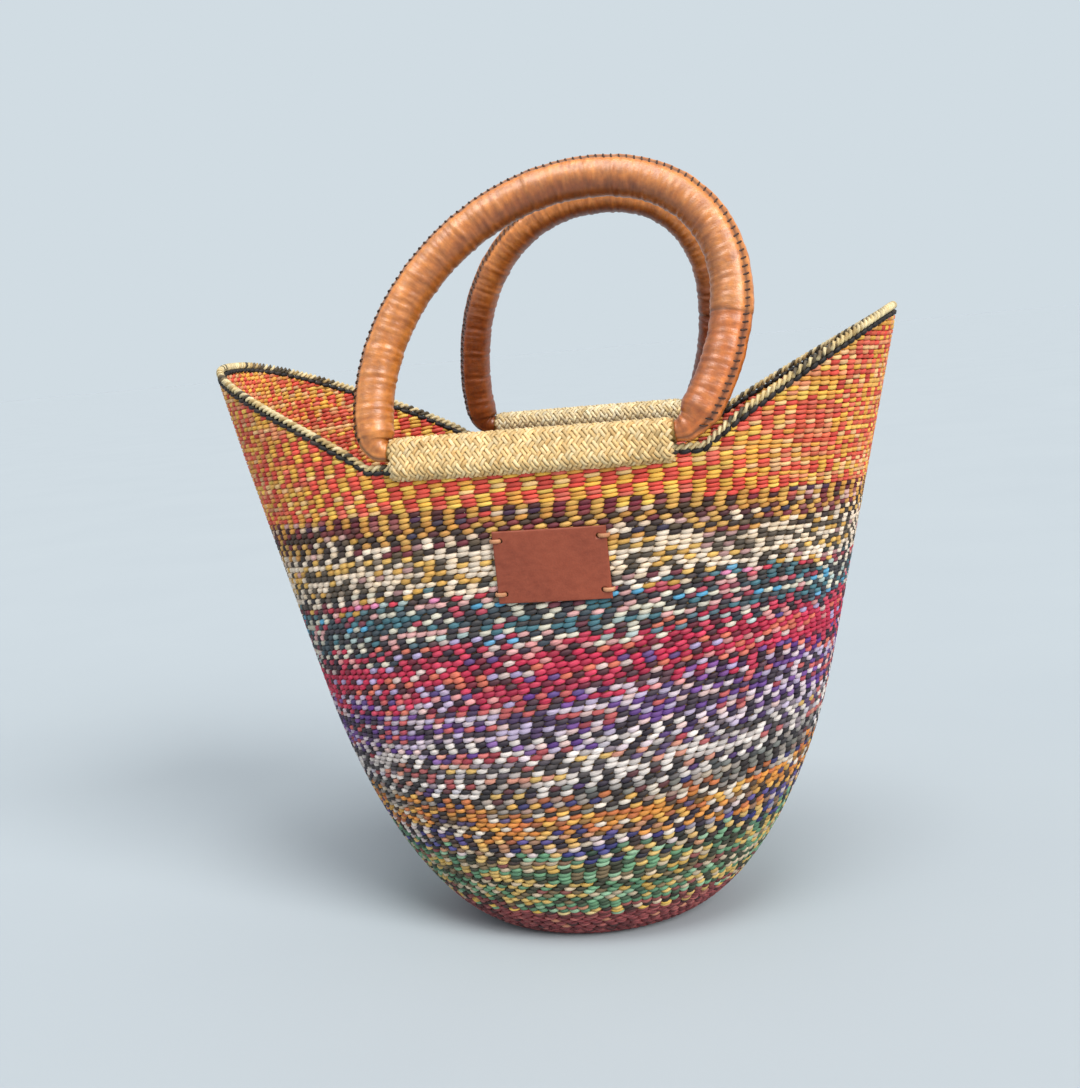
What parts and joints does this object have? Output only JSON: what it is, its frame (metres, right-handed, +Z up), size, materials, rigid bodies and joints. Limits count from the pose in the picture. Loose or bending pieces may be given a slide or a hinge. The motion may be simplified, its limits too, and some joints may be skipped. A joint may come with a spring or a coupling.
{
  "type": "woven basket",
  "caption": "Twined straw shopping basket with raised pointed ends, a dipped rim, leather-covered hoop handles wound to the rim with straw, and a bare leather patch.",
  "frame": {"origin": "centre of the underside of the base, on the surface that the basket stands on", "axes": "+X along the basket from tip to tip, -Y the front with the patch, +Z up"},
  "size_m": [0.4688, 0.2424, 0.509],
  "materials": {
    "red_straw": "dyed straw, dusty red",
    "stake_straw": "undyed straw stakes",
    "green_straw": "dyed straw, green with yellow and black flecks",
    "navy_straw": "dyed straw, navy with cream flecks",
    "marigold_straw": "dyed straw, marigold with cream flecks",
    "ash_straw": "dyed straw, grey-beige",
    "cream_straw": "pale straw with black and gold flecks",
    "violet_straw": "dyed straw, violet with white flecks",
    "crimson_straw": "dyed straw, crimson",
    "teal_straw": "dyed straw, dark teal with pale flecks",
    "maroon_straw": "dyed straw, maroon and black with gold flecks",
    "check_straw": "dyed straw, red and yellow checks",
    "black_straw": "dyed straw, black",
    "natural_straw": "undyed pale straw",
    "core_grass": "dry grass bundle",
    "tan_leather": "worn tan leather",
    "patch_leather": "smooth brown leather",
    "tie_leather": "tan leather lace"
  },
  "bodies": {
    "basket": {"base_disc": "red_straw", "warp_stakes": "stake_straw", "red_band": "red_straw", "green_band": "green_straw", "navy_band": "navy_straw", "marigold_band": "marigold_straw", "ash_band": "ash_straw", "lower_cream_band": "cream_straw", "violet_band": "violet_straw", "crimson_band": "crimson_straw", "teal_band": "teal_straw", "upper_cream_band": "cream_straw", "maroon_band": "maroon_straw", "check_band": "check_straw", "black_border": "black_straw", "rim_roll": "natural_straw", "front_binding": "natural_straw", "back_binding": "natural_straw", "leather_patch": "patch_leather", "patch_tie_1": "tie_leather", "patch_tie_2": "tie_leather", "patch_tie_3": "tie_leather", "patch_tie_4": "tie_leather"},
    "front_handle": {"front_handle_core": "core_grass", "front_handle_leather": "tan_leather"},
    "back_handle": {"back_handle_core": "core_grass", "back_handle_leather": "tan_leather"}
  },
  "joints": [
    {"name": "front_handle_swing", "type": "hinge", "parent": "basket", "child": "front_handle", "pos_m": [0.0116, -0.107, 0.3385], "axis": [1, 0, 0], "range_deg": [-20, 70]},
    {"name": "back_handle_swing", "type": "hinge", "parent": "basket", "child": "back_handle", "pos_m": [0.0023, 0.107, 0.3385], "axis": [-1, 0, 0], "range_deg": [-20, 70]}
  ]
}
